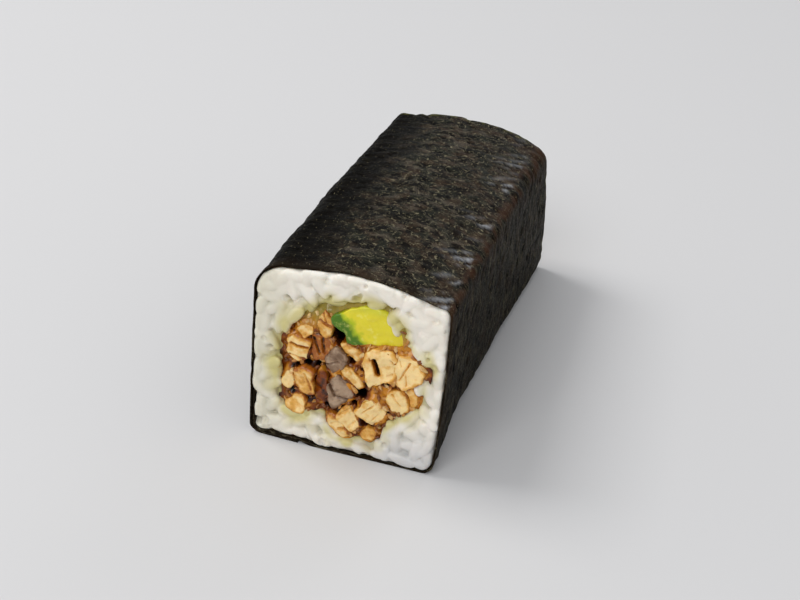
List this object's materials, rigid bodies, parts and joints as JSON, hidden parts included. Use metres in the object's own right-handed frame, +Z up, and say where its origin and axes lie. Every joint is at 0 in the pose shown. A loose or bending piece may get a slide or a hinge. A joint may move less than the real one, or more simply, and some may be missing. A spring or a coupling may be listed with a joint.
{
  "type": "square nori-wrapped rice roll",
  "caption": "Square sushi roll lying on its side, wrapped in nori, with rice round a filling of chicken, sauce and avocado that shows at both ends.",
  "frame": {"origin": "on the flat underside, below the middle of the roll", "axes": "+Y along the roll, away from the end that shows in the picture; +Z up; +X to the right, seen from that end"},
  "size_m": [0.0443, 0.1055, 0.0417],
  "materials": {
    "nori": "dry pressed seaweed, near black, soft sheen",
    "rice": "cooked short rice, moist, translucent white",
    "chicken": "fried chicken, cream and golden, lightly glazed",
    "dark_meat": "grey-brown meat, moist",
    "sauce": "thick dark brown sauce, wet",
    "avocado": "ripe avocado flesh, yellow, green at the skin side"
  },
  "bodies": {
    "root": {"avocado": "avocado", "chicken_01": "chicken", "chicken_02": "chicken", "chicken_03": "chicken", "chicken_04": "chicken", "chicken_05": "chicken", "chicken_06": "chicken", "chicken_07": "chicken", "chicken_08": "chicken", "chicken_09": "chicken", "chicken_10": "chicken", "chicken_11": "chicken", "chicken_12": "chicken", "chicken_13": "chicken", "chicken_14": "chicken", "chicken_15": "chicken", "chicken_16": "chicken", "chicken_17": "chicken", "dark_meat_1": "dark_meat", "dark_meat_2": "dark_meat", "nori": "nori", "rice": "rice", "sauce": "sauce"}
  },
  "joints": []
}
